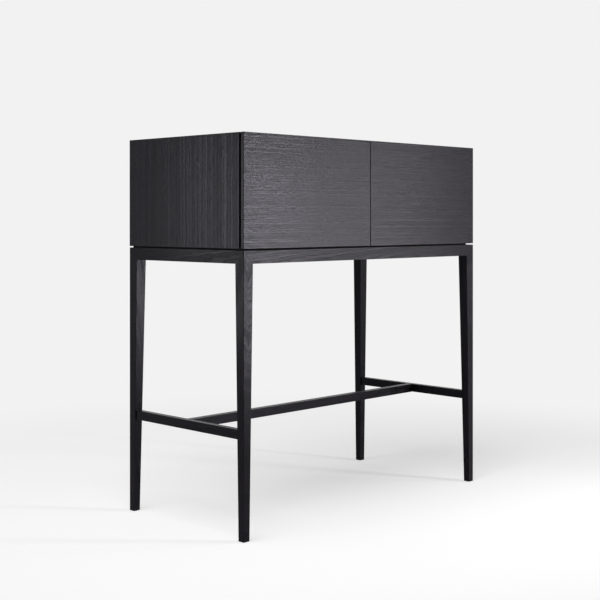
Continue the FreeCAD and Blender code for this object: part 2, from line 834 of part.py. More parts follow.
def build_box(arm_screws, plate_screws, posts):
    """The box round its hidden joinery; returns the divider's dowels."""
    splines = mitre_splines()
    dowels = divider_dowels()
    screws = back_screws()
    hidden = splines + dowels + screws + frame_screws() + arm_screws + plate_screws + posts
    top, right, bottom, left = mitred_panels()
    parts["top_panel"] = cut_all(top, hidden)
    parts["bottom_panel"] = cut_all(bottom, hidden)
    parts["side_panel_left"] = cut_all(left, hidden)
    parts["side_panel_right"] = cut_all(right, hidden + pin_holes(inner_side, 1))
    parts["divider"] = cut_all(divider(), hidden + pin_holes(divider_side, -1))
    parts["back_panel"] = cut_all(back_panel(), screws)
    add_group("mitre_splines", splines)
    add_group("back_screws", screws)
    parts["loose_shelf"] = loose_shelf()
    add_group("shelf_pins", shelf_pins())
    return dowels


def build_fronts():
    """Both fronts with their hinges and strikes; returns the screws of the hinge arms."""
    places = hinge_places()
    placed = {}
    for name, place in places.items():
        placed[name] = {
            "arm": place_hinge(hinge_arm(), *place),
            "cup": place_hinge(hinge_cup(), *place),
            "pocket": place_hinge(cup_pocket(), *place),
            "pin": place_hinge(hinge_pin(), *place),
            "arm_screws": [place_hinge(screw, *place) for screw in hinge_arm_screws()],
            "cup_screws": [place_hinge(screw, *place) for screw in cup_screws()],
        }
        parts["hinge_arm_" + name] = placed[name]["arm"]
        parts["hinge_cup_" + name] = placed[name]["cup"]
    boards = {
        "shelf": (front_board(-x_side, -front_split / 2), shelf_post_points),
        "door": (front_board(front_split / 2, x_side), door_post_points),
    }
    names = {"shelf": "fold_out_shelf", "door": "door"}
    for front, (board, points) in boards.items():
        hinges = [placed[name] for name in placed if name.startswith(front)]
        screws = [screw for hinge in hinges for screw in hinge["cup_screws"]]
        if front == "shelf":
            screws += [copy for screw in bracket_screws() for copy in at_both_ends(screw)]
        strikes = [strike(x, z) for x, z in points]
        pockets = [hinge["pocket"] for hinge in hinges]
        parts[names[front]] = cut_all(board, pockets + screws + strikes)
        add_group(front + "_hinge_pins", [hinge["pin"] for hinge in hinges])
        add_group(front + "_screws", screws)
        add_group(front + "_strikes", strikes)
    return [screw for hinge in placed.values() for screw in hinge["arm_screws"]]


def build_stays():
    """The two stays; returns the screws that go into the side panel and the divider."""
    pieces = {
        "stay_bracket": stay_bracket(),
        "stay_rod": stay_rod(),
        "stay_rod_stop": rod_stop(),
        "stay_swivel": swivel(),
        "stay_brake_screw": brake_screw(),
        "stay_plate": stay_plate(),
    }
    for name, piece in pieces.items():
        left, right = at_both_ends(piece)
        parts[name + "_left"] = left
        parts[name + "_right"] = right
    add_group("stay_pins", at_both_ends(stay_pin()))
    return [copy for screw in stay_plate_screws() for copy in at_both_ends(screw)]


def build():
    post_points = shelf_post_points + door_post_points
    posts = [magnet_post(x, z) for x, z in post_points]
    arm_screws = build_fronts()
    plate_screws = build_stays()
    add_group("hinge_arm_screws", arm_screws)
    add_group("stay_plate_screws", plate_screws)
    add_group("magnet_posts", posts)
    add_group("post_magnets", [post_magnet(x, z) for x, z in post_points])
    frame_pegs = build_frame()
    box_pegs = build_box(arm_screws, plate_screws, posts)
    add_group("dowels", frame_pegs + box_pegs)


build()
for node, shape in parts.items():
    shape.exportStep("parts/" + node + ".step")
    print(node, len(shape.Solids), "solids, volume", round(shape.Volume, 1), "valid", shape.isValid())
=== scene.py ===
"""Finishes and small hardware for a bar cabinet with a fold-out shelf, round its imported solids.

Lengths are in metres unless a name ends in _mm. The row frame has x to the right, y to the rear
and z up, with the floor at z = 0.
"""

import math

import bmesh
import bpy
from mathutils import Euler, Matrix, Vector


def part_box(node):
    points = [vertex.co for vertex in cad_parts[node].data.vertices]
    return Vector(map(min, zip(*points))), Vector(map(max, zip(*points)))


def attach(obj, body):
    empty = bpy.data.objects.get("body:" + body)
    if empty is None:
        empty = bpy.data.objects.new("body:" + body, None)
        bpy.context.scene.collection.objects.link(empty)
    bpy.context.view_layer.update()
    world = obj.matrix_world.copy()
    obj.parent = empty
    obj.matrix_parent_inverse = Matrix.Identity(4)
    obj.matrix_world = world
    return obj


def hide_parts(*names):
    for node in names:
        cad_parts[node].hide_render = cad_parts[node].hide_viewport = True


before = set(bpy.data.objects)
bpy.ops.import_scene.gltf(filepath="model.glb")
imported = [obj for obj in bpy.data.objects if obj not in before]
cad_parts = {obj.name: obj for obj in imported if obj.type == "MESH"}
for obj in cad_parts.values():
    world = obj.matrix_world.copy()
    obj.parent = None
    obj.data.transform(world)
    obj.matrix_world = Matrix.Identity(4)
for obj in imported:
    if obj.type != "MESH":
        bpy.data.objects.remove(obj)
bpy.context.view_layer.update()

bl_info = {
    "name": "Bar cabinet with fold-out shelf",
    "version": (1, 0, 0),
    "blender": (4, 5, 0),
    "location": "3D View > Sidebar > Cabinet",
    "description": "Gives the cabinet's solids their finishes and makes its small hardware",
    "category": "Object",
}

MM = 0.001
MM_PER_UNIT = 1000.0
# corners this near are one corner, and levels this near are one level
SAME_CORNER = 0.001 * MM
SAME_LEVEL = 0.02 * MM


# ------------------------------------------------------------------ small helpers
def linear(hex_colour):
    """A colour written as sRGB hex, as the linear RGBA that sockets take."""
    value = hex_colour.lstrip("#")
    parts = [int(value[k:k + 2], 16) / 255 for k in (0, 2, 4)]
    turned = [c / 12.92 if c <= 0.04045 else ((c + 0.055) / 1.055) ** 2.4 for c in parts]
    return (*turned, 1.0)


def add(tree, kind, inputs=None, **settings):
    """Adds a node, sets it up, and gives its inputs their values or what feeds them.

    A socket feeds an input, and so does a node, with its first output, or a list of nodes.
    """
    made = tree.nodes.new(kind)
    for name, value in settings.items():
        setattr(made, name, value)
    for key, value in (inputs or {}).items():
        for feed in value if isinstance(value, list) else [value]:
            if isinstance(feed, bpy.types.Node):
                feed = feed.outputs[0]
            if isinstance(feed, bpy.types.NodeSocket):
                tree.links.new(feed, made.inputs[key])
            else:
                made.inputs[key].default_value = feed
    return made


def new_material(name):
    """An empty node material and its tree."""
    material = bpy.data.materials.new(name)
    material.use_nodes = True
    material.node_tree.nodes.clear()
    return material, material.node_tree


def new_group(name, kind, inputs, outputs):
    """A node group with these sockets: (name, socket type, default)."""
    tree = bpy.data.node_groups.new(name, kind)
    for label, socket_type, default in inputs:
        socket = tree.interface.new_socket(label, in_out="INPUT", socket_type=socket_type)
        if default is not None:
            socket.default_value = default
    for label, socket_type in outputs:
        tree.interface.new_socket(label, in_out="OUTPUT", socket_type=socket_type)
    return tree


# ------------------------------------------------------------------ settings a user would change
def colour(name, description, hex_colour):
    """A setting that is a colour."""
    return bpy.props.FloatVectorProperty(
        name=name, description=description, size=4, subtype="COLOR", default=linear(hex_colour))


def share(name, description, default, least=0.0, most=1.0):
    """A setting that is a share of one."""
    return bpy.props.FloatProperty(
        name=name, description=description, subtype="FACTOR", default=default, min=least, max=most)


class CabinetAsh(bpy.types.PropertyGroup):
    """Black-stained ash: the colours of its stain and the scale of its grain."""

    stain: colour("Stain", "Colour of the stained wood between the pores", "#080709")
    latewood: colour(
        "Latewood", "Colour of the dense part of each year ring, which takes less stain", "#232026")
    # the leg frame's latewood is darker, partly because its solid wood takes more stain and partly as
    # painted shade on the legs
    frame_latewood_stain_and_shade: colour(
        "Frame latewood", "The same on the leg frame, whose solid wood drinks more stain", "#1f1c21")
    pore: colour("Pore", "Colour inside the open pores, where the stain collects", "#040305")
    ring_scale: bpy.props.FloatProperty(
        name="Ring scale", description="Widens or narrows the year rings of all the boards",
        default=1.0, min=0.2, max=5.0)
    roughness: share("Roughness", "Roughness of the matt lacquer between late and early wood", 0.28)
    roughness_spread: share(
        "Roughness spread", "How much rougher the lacquer is on the sunk early wood", 0.06, most=0.2)
    sheen_level: share("Gloss", "Specular level of the matt lacquer", 0.089)
    frame_sheen_level: share(
        "Frame gloss", "Specular level of the thinner lacquer on the leg frame", 0.065)
    sheen_tint: colour(
        "Gloss tint", "Tint that the violet-black stain gives the lacquer's shine", "#f2eeff")
    pore_depth: bpy.props.FloatProperty(
        name="Pore depth", description="How deep the open pores are",
        subtype="DISTANCE", unit="LENGTH", default=0.12 * MM, min=0.0, max=MM)


class CabinetHardware(bpy.types.PropertyGroup):
    """Colours and sizes of the metal and plastic fittings."""

    zinc: colour("Black zinc", "Colour of the black zinc plating on the screws", "#3a393c")
    nickel: colour("Nickel", "Colour of the nickel plating on rods, pins and strikes", "#c9c5bd")
    steel_coat: colour(
        "Black powder coat", "Colour of the coat on the steel arms, plates and brackets", "#1d1d1f")
    recess_share: share(
        "Recess size", "Span of a screw's cross recess as a share of its head", 0.58, 0.2, 0.9)
    knurls: bpy.props.IntProperty(
        name="Knurls", description="Number of ridges round a brake knob", default=24, min=8, max=60)


class CabinetStage(bpy.types.PropertyGroup):
    """Floor, background, lamps and camera."""

    floor: colour("Floor", "Colour of the pale studio floor", "#f3f3f3")
    backdrop: colour("Backdrop", "Colour of the background", "#f2f2f2")
    floor_share: share("Floor share", "Share of the floor's tone that comes from the lamps", 0.69)
    floor_lift: share(
        "Floor lift", "Part of the floor's tone that only camera and mirrors see", 0.615)
    ambient: bpy.props.FloatProperty(
        name="Ambient", description="Strength of the even light from all round",
        default=0.0, min=0.0, max=2.0)
    lens_mm: bpy.props.FloatProperty(
        name="Lens", description="Focal length in mm on a 36 mm wide sensor", default=69.45,
        min=20.0, max=200.0)


# ------------------------------------------------------------------ ash
def stretched_noise(tree, place, long_mm, wide_mm, detail):
    """Noise whose forms lie along the grain, about this long and this wide."""
    scaled = add(tree, "ShaderNodeVectorMath", {
        0: place, 1: (1 / long_mm, 1 / wide_mm, 1 / wide_mm)}, operation="MULTIPLY")
    return add(tree, "ShaderNodeTexNoise", {"Vector": scaled, "Scale": 1.0, "Detail": detail})


def ash_grain():
    """The grain of open-pored ash in mm, with the trunk's pith along X through the origin.

    Year rings are cylinders round the pith. Each has a porous band of early wood and a dense band of
    late wood, and no two rings are equally dark. A board cuts these rings flat near the pith's height,
    which gives the arched figure, and steeply away from it, which gives straight lines.
    """
    tree = new_group(
        "Ash grain", "ShaderNodeTree",
        [("Vector", "NodeSocketVector", None), ("Ring Width", "NodeSocketFloat", 9.0),
         ("Wander", "NodeSocketFloat", 14.0), ("Ring Contrast", "NodeSocketFloat", 0.4)],
        [("Tone", "NodeSocketFloat"), ("Pores", "NodeSocketFloat"), ("Height", "NodeSocketFloat")])
    given = add(tree, "NodeGroupInput").outputs
    place = grown = given["Vector"]

    # the rings wander over about a metre, in small waves and in ripples: length and width of each of
    # these in mm, and how far in mm it moves the rings
    for long_mm, wide_mm, reach in ((900, 110, given["Wander"]), (150, 16, 3.0), (40, 14, 5.0)):
        noise = stretched_noise(tree, place, long_mm, wide_mm, 1.0)
        middle = add(tree, "ShaderNodeVectorMath", {
            0: noise.outputs["Color"], 1: (0.5, 0.5, 0.5)}, operation="SUBTRACT")
        shift = add(tree, "ShaderNodeVectorMath", {0: middle, "Scale": reach}, operation="SCALE")
        grown = add(tree, "ShaderNodeVectorMath", {0: grown, 1: shift}, operation="ADD")
    across = add(tree, "ShaderNodeVectorMath", {0: grown, 1: (0.0, 1.0, 1.0)}, operation="MULTIPLY")
    radius = add(tree, "ShaderNodeVectorMath", {0: across}, operation="LENGTH").outputs["Value"]

    # rings: good and poor years come in groups of two or three, and widen and narrow the rings
    groups_per_ring, group_reach = 0.4, 1.0
    even_ring = add(tree, "ShaderNodeMath", {0: radius, 1: given["Ring Width"]}, operation="DIVIDE")
    years_place = add(tree, "ShaderNodeMath", {0: even_ring, 1: groups_per_ring}, operation="MULTIPLY")
    years = add(tree, "ShaderNodeTexNoise", {"W": years_place, "Scale": 1.0, "Detail": 1.0},
                noise_dimensions="1D")
    ring = add(tree, "ShaderNodeMath", {0: years, 1: group_reach, 2: even_ring},
               operation="MULTIPLY_ADD")
    ring_number = add(tree, "ShaderNodeMath", {0: ring}, operation="FLOOR")
    ring_part = add(tree, "ShaderNodeMath", {0: ring}, operation="FRACT")
    ring_tone = add(tree, "ShaderNodeTexWhiteNoise", {"W": ring_number}, noise_dimensions="1D")
    # the early wood passes into late wood within a ring, and is weak in some years
    passes, passed, weakest_year = 0.05, 0.6, 0.15
    early_shape = add(tree, "ShaderNodeMapRange", {
        "Value": ring_part, "From Min": passes, "From Max": passed, "To Min": 1.0, "To Max": 0.0},
        interpolation_type="SMOOTHSTEP")
    early_depth = add(tree, "ShaderNodeMapRange", {
        "Value": ring_tone, "To Min": weakest_year, "To Max": 1.0})
    early = add(tree, "ShaderNodeMath", {0: early_shape, 1: early_depth}, operation="MULTIPLY")

    # pores: dark dashes about 12 mm long and 0.5 mm wide, mostly in the early wood
    closed, wide_open, late_wood_share = 0.54, 0.64, 0.2
    pore_noise = stretched_noise(tree, grown, 12, 0.55, 1.0)
    pore_shape = add(tree, "ShaderNodeMapRange", {
        "Value": pore_noise, "From Min": closed, "From Max": wide_open})
    pore_share = add(tree, "ShaderNodeMapRange", {
        "Value": early, "To Min": late_wood_share, "To Max": 1.0})
    pores = add(tree, "ShaderNodeMath", {0: pore_shape, 1: pore_share}, operation="MULTIPLY")
    # flecks: rows of pores run together, 32 mm long and 3 mm wide, coarser than life so that they show
    fleck = stretched_noise(tree, grown, 32, 3, 2.0)
    # fibres, about 1.5 mm wide and 70 mm long, and uneven take-up of the stain over a hand's width
    fibre = stretched_noise(tree, grown, 70, 1.5, 3.0)
    patch = stretched_noise(tree, place, 320, 60, 2.0)

    # tone 0 is the darkest wood, 1 the palest: what each part of the figure adds to the sum, and the
    # sums at which the wood is darkest and palest
    base_tone, darkest, palest = 0.24, 0.8, 1.6
    ring_middle = add(tree, "ShaderNodeMath", {0: ring_tone, 1: 0.5}, operation="SUBTRACT")
    tone = add(tree, "ShaderNodeMath", {0: ring_middle, 1: given["Ring Contrast"], 2: base_tone},
               operation="MULTIPLY_ADD")
    early_tone = add(tree, "ShaderNodeMath", {0: given["Ring Contrast"], 1: -0.6}, operation="MULTIPLY")
    for source, part in (
            (years, 0.35), (fibre, 0.45), (fleck, 1.2), (patch, 0.35), (early, early_tone)):
        tone = add(tree, "ShaderNodeMath", {0: source, 1: part, 2: tone}, operation="MULTIPLY_ADD")
    tone_end = add(tree, "ShaderNodeMapRange", {"Value": tone, "From Min": darkest, "From Max": palest})
    # height in pore depths: the pores are open, the early wood has sunk a little
    height = 0.0
    for source, part in ((fibre, 0.3), (fleck, 1.6), (early, -0.1), (pores, -1.0)):
        height = add(tree, "ShaderNodeMath", {0: source, 1: part, 2: height}, operation="MULTIPLY_ADD")
    add(tree, "NodeGroupOutput", {"Tone": tone_end, "Pores": pores, "Height": height})
    return tree


GRAIN_TURNS = {
    "x": Euler((0.0, 0.0, 0.0)),
    "y": Euler((0.0, 0.0, -math.pi / 2)),
    "z": Euler((0.0, math.pi / 2, 0.0)),
}
PORE_ROUGHNESS = 0.8
# the larger part of a normal is 1 on a face and 0.7 in the middle of an arris; the arrises are painted
# paler, partly as wear and partly as a painted highlight
ARRIS_STARTS, ARRIS_ENDS, ARRIS_WEAR_AND_HIGHLIGHT = 0.97, 0.85, 0.6


def black_stained_ash(node, grain, pith_mm, wander_mm, ring_mm, ring_contrast, lean_deg=(0, 0, 0),
                      leg_frame=False):
    """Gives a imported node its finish: open-pored ash, stained black, under a matt lacquer.

    The stain collects in the pores and leaves the late wood a shade paler, so the grain still shows.
    The lacquer follows the pores, which breaks up the soft shine of the surface. grain is the axis
    along the fibres, and pith_mm a point on the trunk's middle line in the row frame. lean_deg
    turns that line out of the grain's axis, so that a board cuts its rings into pointed arches. The
    panels' rings are wider than life, so that their lines show from across a room.
    """
    ash = bpy.context.scene.cabinet_ash
    material, tree = new_material("black_stained_ash_" + node)
    lean = Euler([math.radians(part) for part in lean_deg])
    turn = GRAIN_TURNS[grain].to_matrix() @ lean.to_matrix()
    coordinates = add(tree, "ShaderNodeTexCoord").outputs
    mapping = add(tree, "ShaderNodeMapping", {
        "Vector": coordinates["Object"], "Location": -(turn @ Vector(pith_mm)),
        "Rotation": turn.to_euler(), "Scale": (MM_PER_UNIT,) * 3})
    tone, pores, height = add(tree, "ShaderNodeGroup", {
        "Vector": mapping, "Ring Width": ring_mm * ash.ring_scale, "Wander": wander_mm,
        "Ring Contrast": ring_contrast}, node_tree=bpy.data.node_groups["Ash grain"]).outputs
    # the leg frame takes its darker latewood, which is partly painted shade
    latewood = ash.frame_latewood_stain_and_shade if leg_frame else ash.latewood
    wood = add(tree, "ShaderNodeMix", {0: tone, 6: ash.stain, 7: latewood}, data_type="RGBA")
    stained = add(tree, "ShaderNodeMix", {0: pores, 6: wood.outputs[2], 7: ash.pore}, data_type="RGBA")
    # the arrises are painted paler, partly sanded through and partly a painted highlight: their normal
    # lies between two axes
    facing = add(tree, "ShaderNodeVectorMath", {0: coordinates["Normal"]}, operation="ABSOLUTE")
    parts = add(tree, "ShaderNodeSeparateXYZ", {0: facing}).outputs
    larger = add(tree, "ShaderNodeMath", {0: parts[0], 1: parts[1]}, operation="MAXIMUM")
    largest = add(tree, "ShaderNodeMath", {0: larger, 1: parts[2]}, operation="MAXIMUM")
    arris_wear_and_highlight = add(tree, "ShaderNodeMapRange", {
        "Value": largest, "From Min": ARRIS_STARTS, "From Max": ARRIS_ENDS, "To Max": ARRIS_WEAR_AND_HIGHLIGHT})
    worn_and_highlighted = add(tree, "ShaderNodeMix", {0: arris_wear_and_highlight, 6: stained.outputs[2], 7: ash.latewood},
               data_type="RGBA")
    lacquer = add(tree, "ShaderNodeMapRange", {
        "Value": tone, "To Min": ash.roughness + ash.roughness_spread,
        "To Max": ash.roughness - ash.roughness_spread})
    roughness = add(tree, "ShaderNodeMapRange", {
        "Value": pores, "To Min": lacquer, "To Max": PORE_ROUGHNESS})
    bump = add(tree, "ShaderNodeBump", {"Height": height, "Strength": 1.0, "Distance": ash.pore_depth})
    shader = add(tree, "ShaderNodeBsdfPrincipled", {
        "Base Color": worn_and_highlighted.outputs[2], "Roughness": roughness, "Normal": bump, "IOR": 1.5,
        "Specular IOR Level": ash.frame_sheen_level if leg_frame else ash.sheen_level,
        "Specular Tint": tuple(ash.sheen_tint)})
    add(tree, "ShaderNodeOutputMaterial", {"Surface": shader})
    finish(node, material)


# ------------------------------------------------------------------ other materials
# for each slot: its material, dark and light colour, size of the specks in mm, roughness and its
# spread, bump in mm, and what else speckled takes; a colour without # is one of the settings. The
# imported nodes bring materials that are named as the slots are, so the names here say more.
SURFACES = {
    # through-dyed fibreboard: felted fibres about 0.5 mm long, open and matt, with next to no shine
    "black_fibreboard": ("black_fibreboard_sawn", "#070708", "#0f0e10", 0.5, 0.85, 0.05, 0.03,
                         {"ior": 1.25}),
    # birch plywood on edge: pale and dark glue lines every 1.4 mm, seen only when taken apart
    "birch_plywood": ("birch_plywood_edge", "#a88455", "#d8bc8c", 1.4, 0.6, 0.1, 0.03,
                      {"stretch": (0.05, 1.0, 1.0)}),
    # turned and fluted beech dowel: pinkish tan with short dark rays about 1 mm long
    "beech": ("beech_turned", "#b98a63", "#d9b48c", 1.0, 0.55, 0.1, 0.03, {}),
    # moulded nylon glide: satin black with a faint moulded texture
    "black_nylon": ("black_nylon_moulded", "#141415", "#1c1c1e", 0.6, 0.45, 0.08, 0.01, {"ior": 1.53}),
    # moulded acetal post: satin black, finely textured by the mould
    "black_moulded_plastic": ("black_acetal_moulded", "#161617", "#1f1f21", 0.4, 0.38, 0.06, 0.008,
                              {"ior": 1.48}),
    # die-cast zinc, blasted and painted black: fine even pitting under a satin coat
    "black_zinc_casting": ("black_painted_zinc_casting", "#191a1b", "#262628", 0.35, 0.48, 0.1, 0.02,
                           {}),
    # powder-coated steel: black with the slight orange-peel of the coat, about 1.2 mm across
    "black_coated_steel": ("black_powder_coated_steel", "#151516", "steel_coat", 1.2, 0.5, 0.06, 0.02,
                           {}),
    # bright nickel over ground steel: a warm grey mirror, softened by fine lines of grinding
    "nickel_plated_steel": ("nickel_plated_steel_ground", "#b5b0a8", "nickel", 0.3, 0.22, 0.08, 0.002,
                            {"metallic": 1.0}),
    # sintered magnet under bright nickel: smoother and a shade cooler than the turned pieces
    "nickel_plated_magnet": ("nickel_plated_magnet_sintered", "#aeaeb0", "#cfcfcf", 1.5, 0.16, 0.04,
                             0.001, {"metallic": 1.0}),
    # black-passivated zinc on screws: dark metal with a dull shine and faint blotches
    "black_zinc_screws": ("black_zinc_plated_screw", "#232225", "zinc", 0.8, 0.4, 0.1, 0.004,
                          {"metallic": 1.0}),
}


def speckled(name, dark, light, size_mm, roughness, rough_spread, bump_mm, metallic=0.0, ior=1.5,
             stretch=(1.0, 1.0, 1.0)):
    """A surface whose colour, roughness and height vary in specks of one size."""
    material, tree = new_material(name)
    coordinates = add(tree, "ShaderNodeTexCoord")
    mapping = add(tree, "ShaderNodeMapping", {
        "Vector": coordinates.outputs["Object"],
        "Scale": tuple(MM_PER_UNIT / size_mm * part for part in stretch)})
    noise = add(tree, "ShaderNodeTexNoise", {
        "Vector": mapping, "Scale": 1.0, "Detail": 4.0, "Roughness": 0.6})
    tint = add(tree, "ShaderNodeMix", {0: noise, 6: dark, 7: light}, data_type="RGBA")
    # the noise seldom leaves 0.3 to 0.7
    rough = add(tree, "ShaderNodeMapRange", {
        "Value": noise, "From Min": 0.3, "From Max": 0.7, "To Min": roughness - rough_spread,
        "To Max": roughness + rough_spread})
    bump = add(tree, "ShaderNodeBump", {"Height": noise, "Strength": 1.0, "Distance": bump_mm * MM})
    shader = add(tree, "ShaderNodeBsdfPrincipled", {
        "Base Color": tint.outputs[2], "Roughness": rough, "Normal": bump, "Metallic": metallic})
    if not metallic:
        shader.inputs["IOR"].default_value = ior
    add(tree, "ShaderNodeOutputMaterial", {"Surface": shader})
    return material


def surface(slot):
    """The material of a slot in the table above, made when it is first asked for."""
    name, *tones, size_mm, roughness, rough_spread, bump_mm, more = SURFACES[slot]
    if name in bpy.data.materials:
        return bpy.data.materials[name]
    hardware = bpy.context.scene.cabinet_hardware
    dark, light = (
        linear(tone) if tone.startswith("#") else tuple(getattr(hardware, tone)) for tone in tones)
    return speckled(name, dark, light, size_mm, roughness, rough_spread, bump_mm, **more)


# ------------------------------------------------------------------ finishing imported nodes
def finish(node, material):
    """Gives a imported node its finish: its shape is already right."""
    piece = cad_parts[node]
    piece.data.materials.clear()
    piece.data.materials.append(material)


def dress(slot, *nodes):
    """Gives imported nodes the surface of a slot."""
    for node in nodes:
        finish(node, surface(slot))


def solids(node):
    """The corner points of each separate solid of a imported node."""
    mesh = bmesh.new()
    mesh.from_mesh(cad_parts[node].data)
    bmesh.ops.remove_doubles(mesh, verts=mesh.verts, dist=SAME_CORNER)
    found = []
    left = set(mesh.verts)
    while left:
        front = [left.pop()]
        points = []
        while front:
            vertex = front.pop()
            points.append(vertex.co.copy())
            for edge in vertex.link_edges:
                other = edge.other_vert(vertex)
                if other in left:
                    left.remove(other)
                    front.append(other)
        found.append(points)
    mesh.free()
    return found


def plain_mesh(name, carrier):
    """The evaluated result of a carrier's modifiers as a mesh of its own; the carrier goes."""
    evaluated = carrier.evaluated_get(bpy.context.evaluated_depsgraph_get())
    mesh = bpy.data.meshes.new_from_object(evaluated)
    mesh.name = name
    carrier.modifiers.clear()
    bpy.data.objects.remove(carrier)
    return mesh


def piece_from(name, meshes, body, node):
    """One object from these meshes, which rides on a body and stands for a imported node."""
    joined = bmesh.new()
    for mesh in meshes:
        joined.from_mesh(mesh)
    final = bpy.data.meshes.new(name)
    joined.to_mesh(final)
    joined.free()
    for material in meshes[0].materials:
        final.materials.append(material)
    piece = bpy.data.objects.new(name, final)
    bpy.context.scene.collection.objects.link(piece)
    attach(piece, body)
    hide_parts(node)


def points_object(name, places):
    """Loose points, each with the direction in which what stands on it faces."""
    mesh = bpy.data.meshes.new(name)
    mesh.from_pydata([place for place, _ in places], [], [])
    direction = mesh.attributes.new("direction", "FLOAT_VECTOR", "POINT")
    direction.data.foreach_set("vector", [c for _, way in places for c in way])
    carrier = bpy.data.objects.new(name, mesh)
    bpy.context.scene.collection.objects.link(carrier)
    return carrier


def with_nodes(carrier, tree, values):
    """Puts a Geometry Nodes tree on a carrier and sets the tree's inputs by their identifiers."""
    modifier = carrier.modifiers.new(tree.name, "NODES")
    modifier.node_group = tree
    for item in tree.interface.items_tree:
        if item.item_type == "SOCKET" and item.in_out == "INPUT" and item.name in values:
            modifier[item.identifier] = values[item.name]
    return carrier


# ------------------------------------------------------------------ geometry trees
def raised(tree, geometry, z, more=None):
    """Moves a geometry along its own axis, and turns or scales it where more says so."""
    shift = add(tree, "ShaderNodeCombineXYZ", {"Z": z})
    return add(tree, "GeometryNodeTransform", {
        "Geometry": geometry, "Translation": shift, **(more or {})})


def close_on_points(tree, given, piece, spin=None):
    """Ends a tree with the piece on each point, facing along the point's direction."""
    way = add(tree, "GeometryNodeInputNamedAttribute", {"Name": "direction"}, data_type="FLOAT_VECTOR")
    facing = add(tree, "FunctionNodeAlignRotationToVector", {"Vector": way}, axis="Z")
    if spin is not None:
        facing = add(tree, "FunctionNodeRotateRotation", {"Rotation": facing, "Rotate By": spin},
                     rotation_space="LOCAL")
    placed = add(tree, "GeometryNodeInstanceOnPoints", {
        "Points": given["Points"], "Instance": piece, "Rotation": facing})
    real = add(tree, "GeometryNodeRealizeInstances", {"Geometry": placed})
    coloured = add(tree, "GeometryNodeSetMaterial", {"Geometry": real, "Material": given["Material"]})
    add(tree, "NodeGroupOutput", {"Geometry": coloured})


# cross recess: its depth as a share of the head's, how far down its middle lies as a share of that
# depth, its span at the tip as a share of the span at the face, and its width as a share of the span
RECESS_DEPTH, RECESS_MIDDLE, RECESS_TIP, RECESS_WIDTH = 0.9, 0.95, 0.45, 0.22
# shares of the shank's radius: core, thread's middle line, thread's size, length of the point
CORE, THREAD, THREAD_SIZE, POINT = 0.72, 0.82, 0.16, 2.0


